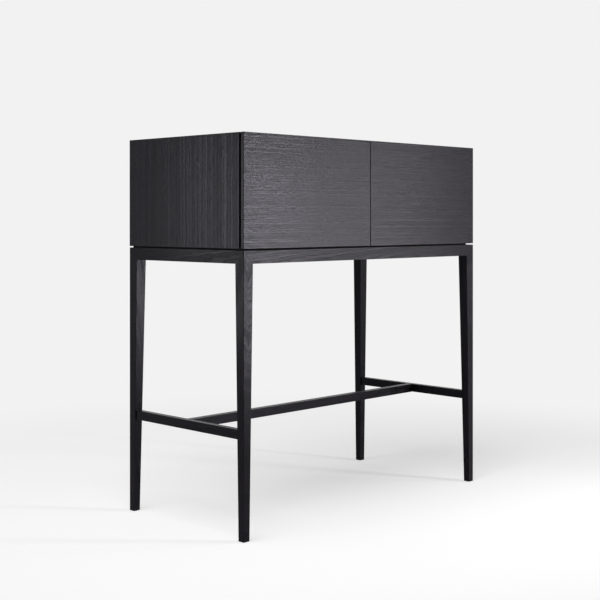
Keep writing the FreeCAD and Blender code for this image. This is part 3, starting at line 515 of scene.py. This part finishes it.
def screw_tree():
    """Countersunk screws with a cross recess, one on each point, head up along its direction."""
    tree = new_group(
        "Countersunk screws", "GeometryNodeTree",
        [("Points", "NodeSocketGeometry", None), ("Head Radius", "NodeSocketFloat", 3.4 * MM),
         ("Shank Radius", "NodeSocketFloat", 1.75 * MM), ("Length", "NodeSocketFloat", 18 * MM),
         ("Recess Share", "NodeSocketFloat", 0.58), ("Seed", "NodeSocketInt", 3),
         ("Material", "NodeSocketMaterial", None)],
        [("Geometry", "NodeSocketGeometry")])
    given = add(tree, "NodeGroupInput").outputs
    head_radius, shank_radius, length = given["Head Radius"], given["Shank Radius"], given["Length"]

    # head: a 90 degree countersink whose flat face lies at z = 0
    head_height = add(tree, "ShaderNodeMath", {0: head_radius, 1: shank_radius}, operation="SUBTRACT")
    head_cone = add(tree, "GeometryNodeMeshCone", {
        "Vertices": 32, "Radius Top": head_radius, "Radius Bottom": shank_radius,
        "Depth": head_height})
    down = add(tree, "ShaderNodeMath", {0: head_height, 1: -1.0}, operation="MULTIPLY")
    head = raised(tree, head_cone, down)
    # cross recess: two tapered slots
    span = add(tree, "ShaderNodeMath", {0: head_radius, 1: given["Recess Share"]}, operation="MULTIPLY")
    tip_span = add(tree, "ShaderNodeMath", {0: span, 1: RECESS_TIP}, operation="MULTIPLY")
    depth = add(tree, "ShaderNodeMath", {0: head_height, 1: RECESS_DEPTH}, operation="MULTIPLY")
    blade_z = add(tree, "ShaderNodeMath", {0: depth, 1: -RECESS_MIDDLE}, operation="MULTIPLY")
    blade = add(tree, "GeometryNodeMeshCone", {
        "Vertices": 4, "Radius Top": span, "Radius Bottom": tip_span, "Depth": depth})
    slot_a = raised(tree, blade, blade_z, {"Scale": (1.0, RECESS_WIDTH, 1.0)})
    slot_b = add(tree, "GeometryNodeTransform", {
        "Geometry": slot_a, "Rotation": (0.0, 0.0, math.pi / 2)})
    cut = add(tree, "GeometryNodeMeshBoolean", {"Mesh 1": head, "Mesh 2": [slot_a, slot_b]},
              operation="DIFFERENCE", solver="EXACT")

    # shank: a core, a point and a thread
    core_radius = add(tree, "ShaderNodeMath", {0: shank_radius, 1: CORE}, operation="MULTIPLY")
    point_length = add(tree, "ShaderNodeMath", {0: shank_radius, 1: POINT}, operation="MULTIPLY")
    core_end = add(tree, "ShaderNodeMath", {0: length, 1: point_length}, operation="SUBTRACT")
    core_bare = add(tree, "ShaderNodeMath", {0: core_end, 1: head_height}, operation="SUBTRACT")
    ends = add(tree, "ShaderNodeMath", {0: core_end, 1: head_height}, operation="ADD")
    core_z = add(tree, "ShaderNodeMath", {0: ends, 1: -0.5}, operation="MULTIPLY")
    core_mesh = add(tree, "GeometryNodeMeshCylinder", {
        "Vertices": 16, "Radius": core_radius, "Depth": core_bare})
    core = raised(tree, core_mesh, core_z)
    tip_mesh = add(tree, "GeometryNodeMeshCone", {
        "Vertices": 16, "Radius Top": core_radius, "Radius Bottom": 0.05 * MM, "Depth": point_length})
    tip_z = add(tree, "ShaderNodeMath", {0: length, 1: -1.0}, operation="MULTIPLY")
    tip = raised(tree, tip_mesh, tip_z)
    thread_radius = add(tree, "ShaderNodeMath", {0: shank_radius, 1: THREAD}, operation="MULTIPLY")
    thread_size = add(tree, "ShaderNodeMath", {0: shank_radius, 1: THREAD_SIZE}, operation="MULTIPLY")
    turns = add(tree, "ShaderNodeMath", {0: core_bare, 1: shank_radius}, operation="DIVIDE")
    spiral = add(tree, "GeometryNodeCurveSpiral", {
        "Resolution": 12, "Rotations": turns, "Start Radius": thread_radius,
        "End Radius": thread_radius, "Height": core_bare})
    ridge = add(tree, "GeometryNodeCurvePrimitiveCircle", {"Resolution": 3, "Radius": thread_size})
    thread_mesh = add(tree, "GeometryNodeCurveToMesh", {
        "Curve": spiral, "Profile Curve": ridge, "Fill Caps": True})
    thread_z = add(tree, "ShaderNodeMath", {0: core_end, 1: -1.0}, operation="MULTIPLY")
    thread = raised(tree, thread_mesh, thread_z)
    screw = add(tree, "GeometryNodeJoinGeometry", {0: [thread, tip, core, cut]})

    # each screw is driven home at its own angle
    angle = add(tree, "FunctionNodeRandomValue", {2: 0.0, 3: 2 * math.pi, "Seed": given["Seed"]},
                data_type="FLOAT")
    spin = add(tree, "FunctionNodeAxisAngleToRotation", {
        "Axis": (0.0, 0.0, 1.0), "Angle": angle.outputs[1]})
    close_on_points(tree, given, screw, spin)
    return tree


# driver slot across a knob's face: length, width and twice its depth, and its turn in radians
DRIVER_SLOT = (12 * MM, 1.1 * MM, 2.0 * MM)
DRIVER_SLOT_TURN = 0.6
# share of a knob's half length from which its rims are turned down
RIM_STARTS = 0.7


def knob_tree():
    """A knurled knob with a driver slot and its threaded shank, outward along its direction."""
    tree = new_group(
        "Knurled knob", "GeometryNodeTree",
        [("Points", "NodeSocketGeometry", None), ("Knob Radius", "NodeSocketFloat", 5 * MM),
         ("Knob Length", "NodeSocketFloat", 3 * MM), ("Knurl Depth", "NodeSocketFloat", 0.4 * MM),
         ("Knurls", "NodeSocketInt", 24), ("Shank Radius", "NodeSocketFloat", 3 * MM),
         ("Shank Length", "NodeSocketFloat", 3 * MM), ("Material", "NodeSocketMaterial", None)],
        [("Geometry", "NodeSocketGeometry")])
    given = add(tree, "NodeGroupInput").outputs
    knob_length, knurl_depth = given["Knob Length"], given["Knurl Depth"]
    sides_per_knurl = 4.0
    sides = add(tree, "ShaderNodeMath", {0: given["Knurls"], 1: sides_per_knurl}, operation="MULTIPLY")
    half = add(tree, "ShaderNodeMath", {0: knob_length, 1: 0.5}, operation="MULTIPLY")
    blank = add(tree, "GeometryNodeMeshCylinder", {
        "Vertices": sides, "Side Segments": 6, "Radius": given["Knob Radius"], "Depth": knob_length},
        fill_type="NGON")
    # ridges: the side sinks between them, and both rims are turned down
    place = add(tree, "GeometryNodeInputPosition")
    parts = add(tree, "ShaderNodeSeparateXYZ", {0: place}).outputs
    angle = add(tree, "ShaderNodeMath", {0: parts[1], 1: parts[0]}, operation="ARCTAN2")
    phase = add(tree, "ShaderNodeMath", {0: angle, 1: given["Knurls"]}, operation="MULTIPLY")
    wave = add(tree, "ShaderNodeMath", {0: phase}, operation="COSINE")
    groove = add(tree, "ShaderNodeMapRange", {
        "Value": wave, "From Min": -1.0, "From Max": 1.0, "To Min": 1.0, "To Max": 0.0})
    height = add(tree, "ShaderNodeMath", {0: parts[2]}, operation="ABSOLUTE")
    rim_share = add(tree, "ShaderNodeMath", {0: height, 1: half}, operation="DIVIDE")
    rim = add(tree, "ShaderNodeMapRange", {
        "Value": rim_share, "From Min": RIM_STARTS, "From Max": 1.0, "To Max": 1.0})
    sink = add(tree, "ShaderNodeMath", {0: groove, 1: knurl_depth}, operation="MULTIPLY")
    rim_sink = add(tree, "ShaderNodeMath", {0: rim, 1: knurl_depth}, operation="MULTIPLY")
    deeper = add(tree, "ShaderNodeMath", {0: sink, 1: rim_sink}, operation="MAXIMUM")
    back = add(tree, "ShaderNodeMath", {0: deeper, 1: -1.0}, operation="MULTIPLY")
    outward = add(tree, "ShaderNodeVectorMath", {0: place, 1: (1.0, 1.0, 0.0)}, operation="MULTIPLY")
    unit = add(tree, "ShaderNodeVectorMath", {0: outward}, operation="NORMALIZE")
    offset = add(tree, "ShaderNodeVectorMath", {0: unit, "Scale": back}, operation="SCALE")
    knurled = add(tree, "GeometryNodeSetPosition", {"Geometry": blank, "Offset": offset})
    slot_block = add(tree, "GeometryNodeMeshCube", {"Size": DRIVER_SLOT})
    slot = raised(tree, slot_block, knob_length, {"Rotation": (0.0, 0.0, DRIVER_SLOT_TURN)})
    cut = add(tree, "GeometryNodeMeshBoolean", {
        "Mesh 1": raised(tree, knurled, half), "Mesh 2": slot}, operation="DIFFERENCE", solver="EXACT")
    shank_mesh = add(tree, "GeometryNodeMeshCylinder", {
        "Vertices": 24, "Radius": given["Shank Radius"], "Depth": given["Shank Length"]})
    shank_z = add(tree, "ShaderNodeMath", {0: given["Shank Length"], 1: -0.5}, operation="MULTIPLY")
    shank = raised(tree, shank_mesh, shank_z)
    close_on_points(tree, given, add(tree, "GeometryNodeJoinGeometry", {0: [shank, cut]}))
    return tree


# ------------------------------------------------------------------ reading a screw's place
def screw_place(points):
    """A packed screw's head point, outward direction and sizes in mm (head, shank, length)."""
    low = Vector(map(min, zip(*points)))
    high = Vector(map(max, zip(*points)))
    size = high - low
    # its axis is the side that differs from the other two, which are both the head's diameter
    axis = max(range(3), key=lambda k: min(abs(size[k] - size[j]) for j in range(3) if j != k))
    side = (axis + 1) % 3
    middle = (low + high) / 2

    def spread(level):
        return max(abs(p[side] - middle[side]) for p in points if abs(p[axis] - level) < SAME_LEVEL)

    head_level = max((low[axis], high[axis]), key=spread)
    tip_level = low[axis] if head_level == high[axis] else high[axis]
    place = middle.copy()
    place[axis] = head_level
    way = Vector((0.0, 0.0, 0.0))
    way[axis] = 1.0 if head_level > tip_level else -1.0
    sizes = (spread(head_level), spread(tip_level), abs(head_level - tip_level))
    return tuple(place), tuple(way), tuple(round(s / MM, 1) for s in sizes)


# ------------------------------------------------------------------ operators
class CABINET_OT_fronts(bpy.types.Operator):
    """Finishes the fold-out shelf and the door: ash with its grain lengthwise"""

    bl_idname = "cabinet.fronts"
    bl_label = "Fold-out shelf and door"

    def execute(self, context):
        top_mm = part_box("fold_out_shelf")[1].z / MM
        # the pith lies above and behind the fronts, so that their lines are straight
        for node, pith in (
            ("fold_out_shelf", (0, -230, top_mm + 60)),
            ("door", (300, -210, top_mm + 150)),
        ):
            black_stained_ash(node, "x", pith, wander_mm=14.0, ring_mm=7.0, ring_contrast=0.55)
        return {"FINISHED"}


class CABINET_OT_box(bpy.types.Operator):
    """Finishes the box: top, bottom, sides, divider, back and loose shelf"""

    bl_idname = "cabinet.box"
    bl_label = "Box panels"

    def execute(self, context):
        # grain, a point on the pith, wander and ring width in mm, ring contrast
        for board in (
            ("side_panel_left", "z", (-470, 430, 1000), 12.0, 15.0, 1.15),
            ("side_panel_right", "z", (490, -400, 1000), 12.0, 15.0, 1.15),
            ("top_panel", "x", (0, -60, 1150), 18.0, 6.5, 0.4),
            ("bottom_panel", "x", (100, 90, 800), 18.0, 6.5, 0.4),
            ("divider", "z", (80, 60, 1000), 12.0, 8.0, 0.4),
            ("back_panel", "x", (0, 380, 1080), 18.0, 6.5, 0.4),
            ("loose_shelf", "x", (0, -20, 1000), 16.0, 6.5, 0.4),
        ):
            black_stained_ash(*board)
        return {"FINISHED"}


class CABINET_OT_leg_frame(bpy.types.Operator):
    """Finishes the leg frame: solid ash with the grain along each leg, rail and stretcher"""

    bl_idname = "cabinet.leg_frame"
    bl_label = "Leg frame"

    def execute(self, context):
        # grain, a point on the pith in mm, lean of the pith in degrees
        for node, grain, pith, lean in (
            ("leg_front_left", "z", (-580, -274, 850), (-12, 1, 0)),
            ("leg_front_right", "z", (560, -240, 500), (6, -3, 0)),
            ("leg_rear_left", "z", (-570, 250, 400), (3, 8, 0)),
            ("leg_rear_right", "z", (560, 300, 500), (-6, 4, 0)),
            ("rail_front", "x", (0, -240, 860), (0, 1, 2)),
            ("rail_rear", "x", (0, 240, 930), (0, 2, -1)),
            ("rail_left", "y", (-540, 0, 860), (2, 0, 2)),
            ("rail_right", "y", (540, 0, 860), (1, 0, -2)),
            ("stretcher_left", "y", (-540, 0, 300), (1, 0, 1)),
            ("stretcher_right", "y", (540, 0, 360), (-1, 0, 1)),
            ("stretcher_centre", "x", (0, 60, 310), (0, 1, 1)),
        ):
            black_stained_ash(node, grain, pith, wander_mm=8.0, ring_mm=5.0, ring_contrast=1.3,
                              lean_deg=lean, leg_frame=True)
        return {"FINISHED"}


class CABINET_OT_joinery(bpy.types.Operator):
    """Finishes the spacer strips, splines and dowels"""

    bl_idname = "cabinet.joinery"
    bl_label = "Spacer strips, splines and dowels"

    def execute(self, context):
        dress("black_fibreboard", "spacer_strip_front", "spacer_strip_rear", "spacer_strips_side")
        dress("birch_plywood", "mitre_splines")
        dress("beech", "dowels")
        return {"FINISHED"}


class CABINET_OT_hinges(bpy.types.Operator):
    """Finishes the cranked pivot hinges: steel arms, cast cups and their pins"""

    bl_idname = "cabinet.hinges"
    bl_label = "Hinges"

    def execute(self, context):
        for place in ("shelf_left", "shelf_right", "door_top", "door_bottom"):
            dress("black_coated_steel", "hinge_arm_" + place)
            dress("black_zinc_casting", "hinge_cup_" + place)
        dress("nickel_plated_steel", "shelf_hinge_pins", "door_hinge_pins")
        return {"FINISHED"}


class CABINET_OT_stays(bpy.types.Operator):
    """Finishes the brake stays: plates, swivels, rods, stops, brackets and pins"""

    bl_idname = "cabinet.stays"
    bl_label = "Brake stays"

    def execute(self, context):
        for side in ("left", "right"):
            dress("black_coated_steel", "stay_plate_" + side, "stay_bracket_" + side)
            dress("black_zinc_casting", "stay_swivel_" + side)
            dress("nickel_plated_steel", "stay_rod_" + side, "stay_rod_stop_" + side)
        dress("nickel_plated_steel", "stay_pins")
        return {"FINISHED"}


class CABINET_OT_knobs(bpy.types.Operator):
    """Makes the knurled knobs that set the brakes of the stays"""

    bl_idname = "cabinet.knobs"
    bl_label = "Brake knobs"

    def execute(self, context):
        knob_length = 3.0 * MM
        tree = knob_tree()
        for side, way in (("left", 1.0), ("right", -1.0)):
            node = "stay_brake_screw_" + side
            low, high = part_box(node)
            middle = (low + high) / 2
            face = high.x if way > 0 else low.x
            place = (face - way * knob_length, middle.y, middle.z)
            carrier = with_nodes(points_object("knob_point", [(place, (way, 0.0, 0.0))]), tree, {
                "Knob Radius": (high.y - low.y) / 2, "Knob Length": knob_length,
                "Knurl Depth": 0.45 * MM, "Knurls": context.scene.cabinet_hardware.knurls,
                "Shank Radius": 3.0 * MM, "Shank Length": (high.x - low.x) - knob_length,
                "Material": surface("nickel_plated_steel")})
            piece_from("brake_knob_" + side, [plain_mesh(node, carrier)], "stay_swivel_" + side, node)
        return {"FINISHED"}


class CABINET_OT_screws(bpy.types.Operator):
    """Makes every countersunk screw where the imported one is"""

    bl_idname = "cabinet.screws"
    bl_label = "Screws"

    def execute(self, context):
        tree = screw_tree()
        for node, body in (
            ("back_screws", "cabinet"), ("frame_screws", "cabinet"), ("hinge_arm_screws", "cabinet"),
            ("stay_plate_screws", "cabinet"), ("shelf_screws", "fold_out_shelf"),
            ("door_screws", "door"),
        ):
            kinds = {}
            for points in solids(node):
                place, way, sizes = screw_place(points)
                kinds.setdefault(sizes, []).append((place, way))
            meshes = []
            for (head, shank, length), places in sorted(kinds.items()):
                # in a fixed order, so that each screw keeps its angle from run to run
                places.sort(key=lambda item: [round(c / MM, 2) for c in item[0]])
                carrier = with_nodes(points_object("screw_points", places), tree, {
                    "Head Radius": head * MM, "Shank Radius": shank * MM, "Length": length * MM,
                    "Recess Share": context.scene.cabinet_hardware.recess_share, "Seed": 3,
                    "Material": surface("black_zinc_screws")})
                meshes.append(plain_mesh(node, carrier))
            piece_from("driven_" + node, meshes, body, node)
        return {"FINISHED"}


class CABINET_OT_catches(bpy.types.Operator):
    """Finishes the posts, their magnets and the strikes"""

    bl_idname = "cabinet.catches"
    bl_label = "Magnet catches"

    def execute(self, context):
        dress("black_moulded_plastic", "magnet_posts")
        dress("nickel_plated_magnet", "post_magnets")
        dress("nickel_plated_steel", "shelf_strikes", "door_strikes")
        return {"FINISHED"}


class CABINET_OT_fittings(bpy.types.Operator):
    """Finishes the shelf pins and the foot glides"""

    bl_idname = "cabinet.fittings"
    bl_label = "Shelf pins and glides"

    def execute(self, context):
        dress("nickel_plated_steel", "shelf_pins")
        dress("black_nylon", "foot_glides")
        return {"FINISHED"}


# ------------------------------------------------------------------ stage
CAMERA_PLACE = (-3.0445, -2.9410, 1.0109)
CAMERA_FORWARD = (0.71292, 0.70124, -0.00225)
CAMERA_RISE = -0.13138
SENSOR_WIDTH_MM = 36.0
FLOOR_RADIUS = 60.0
# distances from the object between which the floor passes into the background
FLOOR_FADE = (0.9, 2.6)

# name, direction from the object in degrees (0 front, 90 right), distance, height, aim point,
# width, height of the lamp, spread of its grid in degrees (180 without a grid), power in watts
LAMPS = (
    ("key_strip", 32.0, 3.0, 0.86, (0.0, -0.29, 0.95), 0.3, 1.5, 90.0, 18.4),
    ("right_softbox", 46.1, 3.09, 0.97, (0.0, -0.29, 1.1), 0.6, 1.24, 90.0, 5.5),
    ("rear_left_softbox", -122.0, 2.2, 0.97, (-0.6, -0.6, 0.98), 0.4, 1.0, 60.0, 1.02),
    ("top_softbox", 0.0, 0.1, 3.2, (0.0, 0.0, 0.9), 2.4, 2.4, 180.0, 11.0),
    ("high_left_softbox", -75.0, 3.0, 6.0, (0.0, 0.0, 0.0), 4.0, 4.0, 180.0, 225.0),
)


def seen_directly(tree):
    """A node that is 1 for what camera, mirrors and glass see, and 0 for light on the object."""
    path = add(tree, "ShaderNodeLightPath").outputs
    seen = add(tree, "ShaderNodeMath", {0: path["Is Camera Ray"], 1: path["Is Glossy Ray"]},
               operation="ADD")
    return add(tree, "ShaderNodeMath", {0: seen, 1: path["Is Transmission Ray"]}, operation="ADD")


def floor_material():
    """Painted studio floor: matt and nearly white; far off it passes into the background."""
    stage = bpy.context.scene.cabinet_stage
    material, tree = new_material("pale_painted_floor")
    coordinates = add(tree, "ShaderNodeTexCoord")
    reach = add(tree, "ShaderNodeVectorMath", {0: coordinates.outputs["Object"]}, operation="LENGTH")
    far = add(tree, "ShaderNodeMapRange", {
        "Value": reach.outputs["Value"], "From Min": FLOOR_FADE[0], "From Max": FLOOR_FADE[1]},
        interpolation_type="SMOOTHSTEP")
    lit = [c * stage.floor_share for c in stage.floor[:3]]
    paint = add(tree, "ShaderNodeBsdfDiffuse", {"Color": (*lit, 1.0), "Roughness": 0.0})
    # lifts what the camera and mirrors see to the tone of a lit studio; it gives no light
    seen = seen_directly(tree)
    strength = add(tree, "ShaderNodeMath", {0: seen, 1: stage.floor_lift}, operation="MULTIPLY")
    lift = add(tree, "ShaderNodeEmission", {"Color": tuple(stage.floor), "Strength": strength})
    near_floor = add(tree, "ShaderNodeAddShader", {0: paint, 1: lift})
    far_colour = add(tree, "ShaderNodeEmission", {"Color": tuple(stage.backdrop), "Strength": seen})
    whole = add(tree, "ShaderNodeMixShader", {0: far, 1: near_floor, 2: far_colour})
    add(tree, "ShaderNodeOutputMaterial", {"Surface": whole})
    return material


class CABINET_OT_stage(bpy.types.Operator):
    """Sets up the floor, the background, the soft lamps and the camera"""

    bl_idname = "cabinet.stage"
    bl_label = "Studio"

    def execute(self, context):
        scene = context.scene
        stage = scene.cabinet_stage
        scene.view_settings.view_transform = "Standard"

        disc = bmesh.new()
        bmesh.ops.create_circle(disc, cap_ends=True, radius=FLOOR_RADIUS, segments=96)
        mesh = bpy.data.meshes.new("floor")
        disc.to_mesh(mesh)
        disc.free()
        mesh.materials.append(floor_material())
        floor = bpy.data.objects.new("floor", mesh)
        scene.collection.objects.link(floor)

        scene.world = bpy.data.worlds.new("studio")
        scene.world.use_nodes = True
        tree = scene.world.node_tree
        tree.nodes.clear()
        ambient = add(tree, "ShaderNodeBackground", {
            "Color": linear("#ffffff"), "Strength": stage.ambient})
        shown = add(tree, "ShaderNodeBackground", {"Color": tuple(stage.backdrop), "Strength": 1.0})
        mixed = add(tree, "ShaderNodeMixShader", {0: seen_directly(tree), 1: ambient, 2: shown})
        add(tree, "ShaderNodeOutputWorld", {"Surface": mixed})

        for name, turn, distance, height, aim, wide, high, spread, power in LAMPS:
            light = bpy.data.lights.new(name, "AREA")
            light.shape = "RECTANGLE"
            light.size = wide
            light.size_y = high
            light.spread = math.radians(spread)
            light.energy = power
            lamp = bpy.data.objects.new(name, light)
            around = math.radians(turn)
            lamp.location = (distance * math.sin(around), -distance * math.cos(around), height)
            lamp.rotation_euler = (Vector(aim) - lamp.location).to_track_quat("-Z", "Y").to_euler()
            lamp.visible_camera = False
            scene.collection.objects.link(lamp)

        data = bpy.data.cameras.new("camera")
        data.sensor_width = SENSOR_WIDTH_MM
        data.lens = stage.lens_mm
        data.shift_y = CAMERA_RISE
        data.clip_start = 0.1
        data.clip_end = 200.0
        camera = bpy.data.objects.new("camera", data)
        camera.location = CAMERA_PLACE
        camera.rotation_euler = Vector(CAMERA_FORWARD).to_track_quat("-Z", "Y").to_euler()
        scene.collection.objects.link(camera)
        scene.camera = camera
        return {"FINISHED"}


class CABINET_PT_panel(bpy.types.Panel):
    """Lists the settings and the steps that build the cabinet's looks"""

    bl_idname = "CABINET_PT_panel"
    bl_label = "Bar cabinet"
    bl_space_type = "VIEW_3D"
    bl_region_type = "UI"
    bl_category = "Cabinet"

    def draw(self, context):
        layout = self.layout
        for group in (context.scene.cabinet_ash, context.scene.cabinet_hardware,
                      context.scene.cabinet_stage):
            box = layout.box()
            for name in group.bl_rna.properties.keys():
                if name not in ("rna_type", "name"):
                    box.prop(group, name)
        for step in STEPS:
            layout.operator(step.bl_idname)


STEPS = (
    CABINET_OT_fronts, CABINET_OT_box, CABINET_OT_leg_frame, CABINET_OT_joinery, CABINET_OT_hinges,
    CABINET_OT_stays, CABINET_OT_knobs, CABINET_OT_screws, CABINET_OT_catches, CABINET_OT_fittings,
    CABINET_OT_stage,
)
GROUPS = {"cabinet_ash": CabinetAsh, "cabinet_hardware": CabinetHardware, "cabinet_stage": CabinetStage}


def register():
    for name, group in GROUPS.items():
        bpy.utils.register_class(group)
        setattr(bpy.types.Scene, name, bpy.props.PointerProperty(type=group))
    for step in STEPS:
        bpy.utils.register_class(step)
    bpy.utils.register_class(CABINET_PT_panel)


def unregister():
    bpy.utils.unregister_class(CABINET_PT_panel)
    for step in reversed(STEPS):
        bpy.utils.unregister_class(step)
    for name, group in GROUPS.items():
        delattr(bpy.types.Scene, name)
        bpy.utils.unregister_class(group)


def main():
    register()
    ash_grain()
    bpy.ops.cabinet.fronts()
    bpy.ops.cabinet.box()
    bpy.ops.cabinet.leg_frame()
    bpy.ops.cabinet.joinery()
    bpy.ops.cabinet.hinges()
    bpy.ops.cabinet.stays()
    bpy.ops.cabinet.knobs()
    bpy.ops.cabinet.screws()
    bpy.ops.cabinet.catches()
    bpy.ops.cabinet.fittings()
    bpy.ops.cabinet.stage()


if __name__ == "__main__":
    main()
